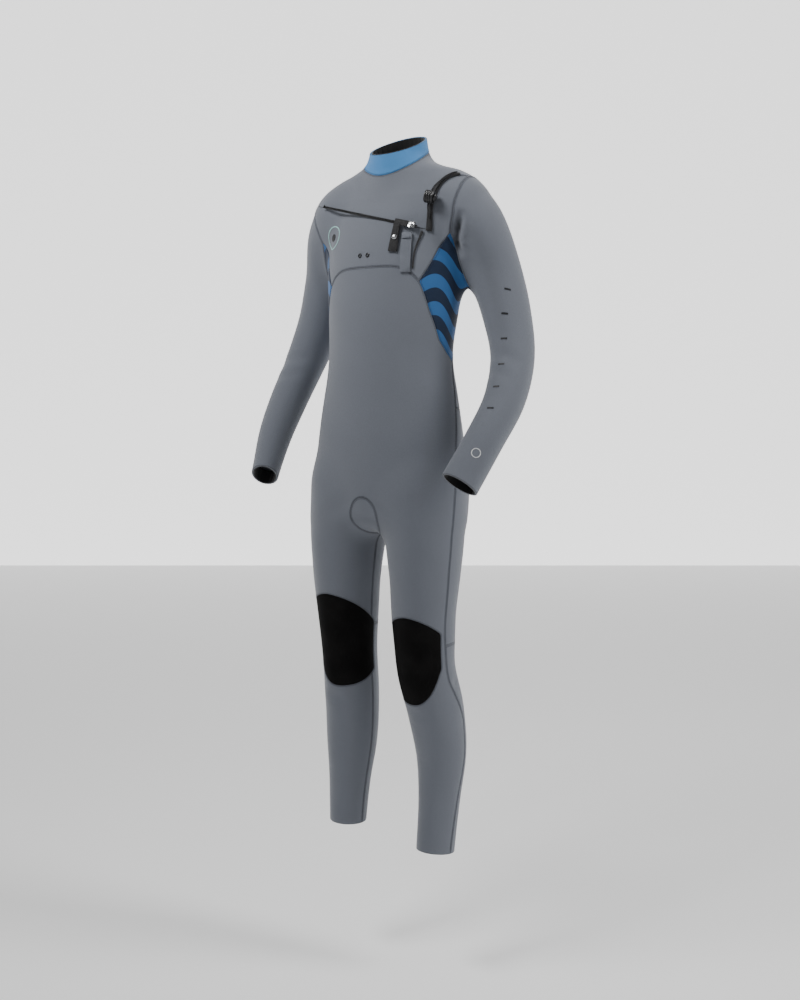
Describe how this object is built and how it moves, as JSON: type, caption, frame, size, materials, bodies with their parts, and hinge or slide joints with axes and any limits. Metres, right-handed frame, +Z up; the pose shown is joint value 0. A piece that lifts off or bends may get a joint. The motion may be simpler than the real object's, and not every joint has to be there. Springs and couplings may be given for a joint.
{
  "type": "wetsuit",
  "caption": "Full-length chest-zip wetsuit for a youth: long sleeves, ribbed-lock drawcord shoulder, wave-print side panels and padded knees, shaped as if worn.",
  "frame": {"origin": "centre of the neck in the plane of the collar seam, where the suit is held as if on its wearer's shoulders", "axes": "+Z up along the trunk towards the neck, -Y the way that the chest faces, +X towards the wearer's left"},
  "size_m": [0.518, 0.2299, 1.2367],
  "materials": {
    "grey_neoprene": "matt jersey with a faint heather",
    "black_neoprene": "matt jersey",
    "knee_rubber": "matt, finely pebbled",
    "collar_blue": "matt jersey",
    "wave_print": "matt jersey printed with waves in two blues",
    "black_lining": "matt",
    "black_webbing": "woven, slightly shiny",
    "black_plastic": "satin",
    "steel": "polished",
    "badge_ink": "matt transfer print"
  },
  "bodies": {
    "suit": {"collar": "collar_blue", "collar_lining": "black_lining", "neck_yoke": "grey_neoprene", "chest_panel": "grey_neoprene", "front_panel": "grey_neoprene", "back_panel": "grey_neoprene", "left_seat_panel": "grey_neoprene", "right_seat_panel": "grey_neoprene", "left_upper_sleeve": "grey_neoprene", "left_knee_pad": "knee_rubber", "left_side_panel": "wave_print", "drain_eyelet_left": "black_plastic", "right_upper_sleeve": "grey_neoprene", "right_knee_pad": "knee_rubber", "right_side_panel": "wave_print", "drain_eyelet_right": "black_plastic", "crotch_gusset": "black_neoprene", "zip_tape_upper": "black_webbing", "zip_tape_lower": "black_webbing", "garage_binding": "black_webbing", "shoulder_binding": "black_webbing", "shock_cord": "black_webbing", "zip_teeth_upper": "black_plastic", "zip_teeth_lower": "black_plastic", "zip_end_stop": "steel", "chest_badge": "badge_ink"},
    "left_forearm": {"left_forearm_sleeve": "grey_neoprene", "left_cuff_lining": "black_lining", "cuff_badge": "badge_ink"},
    "right_forearm": {"right_forearm_sleeve": "grey_neoprene", "right_cuff_lining": "black_lining"},
    "left_lower_leg": {"left_shin_panel": "grey_neoprene", "left_calf_panel": "grey_neoprene"},
    "right_lower_leg": {"right_shin_panel": "grey_neoprene", "right_calf_panel": "grey_neoprene"},
    "slider": {"zip_slider": "steel"},
    "pull": {"pull_tab": "black_webbing", "pull_rivet": "steel"},
    "cord_lock": {"cord_lock_body": "black_plastic"},
    "lock_button": {"cord_lock_button": "black_plastic"},
    "garage": {"garage_flap": "grey_neoprene"}
  },
  "joints": [
    {"name": "left_elbow", "type": "hinge", "parent": "suit", "child": "left_forearm", "pos_m": [0.21518, -0.02766, -0.32248], "axis": [-0.9789, 0, -0.2044], "range_deg": [0, 75], "stiffness_Nm_per_rad": 0.5},
    {"name": "right_elbow", "type": "hinge", "parent": "suit", "child": "right_forearm", "pos_m": [-0.21518, -0.02766, -0.32248], "axis": [-0.9789, 0, 0.2044], "range_deg": [0, 75], "stiffness_Nm_per_rad": 0.5},
    {"name": "left_knee", "type": "hinge", "parent": "suit", "child": "left_lower_leg", "pos_m": [0.084, 0.008, -0.815], "axis": [1, 0, 0], "range_deg": [0, 85], "stiffness_Nm_per_rad": 1},
    {"name": "right_knee", "type": "hinge", "parent": "suit", "child": "right_lower_leg", "pos_m": [-0.084, 0.016, -0.8], "axis": [1, 0, 0], "range_deg": [0, 85], "stiffness_Nm_per_rad": 1},
    {"name": "zip_travel", "type": "hinge", "parent": "suit", "child": "slider", "pos_m": [0.0121, 0.38267, -0.10202], "axis": [-0.2425, 0, -0.9701], "range_deg": [0, 20.8]},
    {"name": "pull_swing", "type": "hinge", "parent": "slider", "child": "pull", "pos_m": [0.06036, -0.07557, -0.10688], "axis": [-0.9654, -0.0992, 0.2413], "range_deg": [0, 100]},
    {"name": "lock_slide", "type": "slide", "parent": "suit", "child": "cord_lock", "axis": [0.1958, 0.2098, 0.9579], "range_m": [-0.003, 0.006]},
    {"name": "button_press", "type": "slide", "parent": "cord_lock", "child": "lock_button", "axis": [-0.9408, -0.2355, 0.2438], "range_m": [0, 0.003], "stiffness_N_per_m": 400, "springref_m": -0.001},
    {"name": "flap_lift", "type": "hinge", "parent": "suit", "child": "garage", "pos_m": [0.06995, -0.08561, -0.19189], "axis": [0.927, 0.3752, 0], "range_deg": [0, 60], "stiffness_Nm_per_rad": 0.02}
  ]
}
